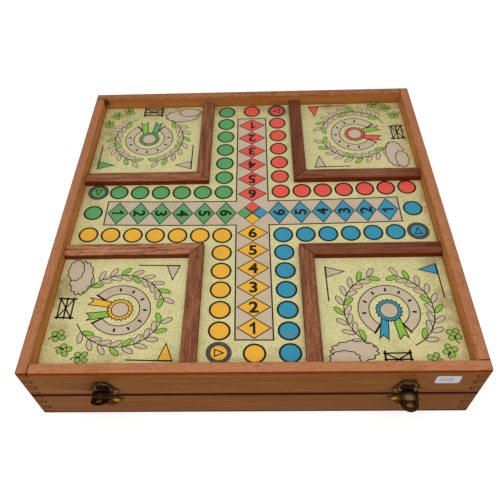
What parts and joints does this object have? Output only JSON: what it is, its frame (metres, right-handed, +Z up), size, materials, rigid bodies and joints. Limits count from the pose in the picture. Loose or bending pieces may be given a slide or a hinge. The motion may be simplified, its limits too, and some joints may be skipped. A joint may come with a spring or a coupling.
{
  "type": "folding board game box",
  "caption": "Square wooden board game box of two hinged, finger-jointed trays; the lid is a sunken race game board with fenced stables, and hasps close the front.",
  "frame": {"origin": "centre of the box's underside, which is its resting plane", "axes": "+X to the right and +Y to the back as seen from the side with the latches, +Z up through the board"},
  "size_m": [0.37, 0.3958, 0.0734],
  "materials": {
    "pine": "oiled and darkened pine, waxed",
    "plywood": "bare plywood",
    "printed_paper": "aged printed paper under thin varnish",
    "mahogany": "stained mahogany, satin",
    "aged_brass": "tarnished sheet brass",
    "hinge_brass": "dull brass",
    "fixings": "dull brass screws and nails"
  },
  "bodies": {
    "base": {"base_front_rail": "pine", "base_right_rail": "pine", "base_back_rail": "pine", "base_left_rail": "pine", "base_panel": "plywood", "hinge_left_base_leaf": "hinge_brass", "hinge_left_pin": "hinge_brass", "hinge_right_base_leaf": "hinge_brass", "hinge_right_pin": "hinge_brass", "hinge_screws_base": "fixings", "latch_left_catch": "aged_brass", "latch_right_catch": "aged_brass", "latch_nails_base": "fixings"},
    "lid": {"lid_front_rail": "pine", "lid_right_rail": "pine", "lid_back_rail": "pine", "lid_left_rail": "pine", "lid_panel": "plywood", "board_sheet": "printed_paper", "strip_front_left_across": "mahogany", "strip_front_left_along": "mahogany", "strip_front_right_across": "mahogany", "strip_front_right_along": "mahogany", "strip_back_left_across": "mahogany", "strip_back_left_along": "mahogany", "strip_back_right_across": "mahogany", "strip_back_right_along": "mahogany", "hinge_left_lid_leaf": "hinge_brass", "hinge_right_lid_leaf": "hinge_brass", "hinge_screws_lid": "fixings", "latch_left_plate": "aged_brass", "latch_left_pin": "aged_brass", "latch_right_plate": "aged_brass", "latch_right_pin": "aged_brass", "latch_nails_lid": "fixings"},
    "hasp_left": {"latch_left_hasp": "aged_brass"},
    "hasp_right": {"latch_right_hasp": "aged_brass"}
  },
  "joints": [
    {"name": "lid_hinge", "type": "hinge", "parent": "base", "child": "lid", "pos_m": [0, 0.1876, 0.0367], "axis": [-1, 0, 0], "range_deg": [0, 180]},
    {"name": "hasp_left_swing", "type": "hinge", "parent": "lid", "child": "hasp_left", "pos_m": [-0.12, -0.1878, 0.0467], "axis": [-1, 0, 0], "range_deg": [-125, 20]},
    {"name": "hasp_right_swing", "type": "hinge", "parent": "lid", "child": "hasp_right", "pos_m": [0.124, -0.1878, 0.0467], "axis": [-1, 0, 0], "range_deg": [-94, 51]}
  ]
}
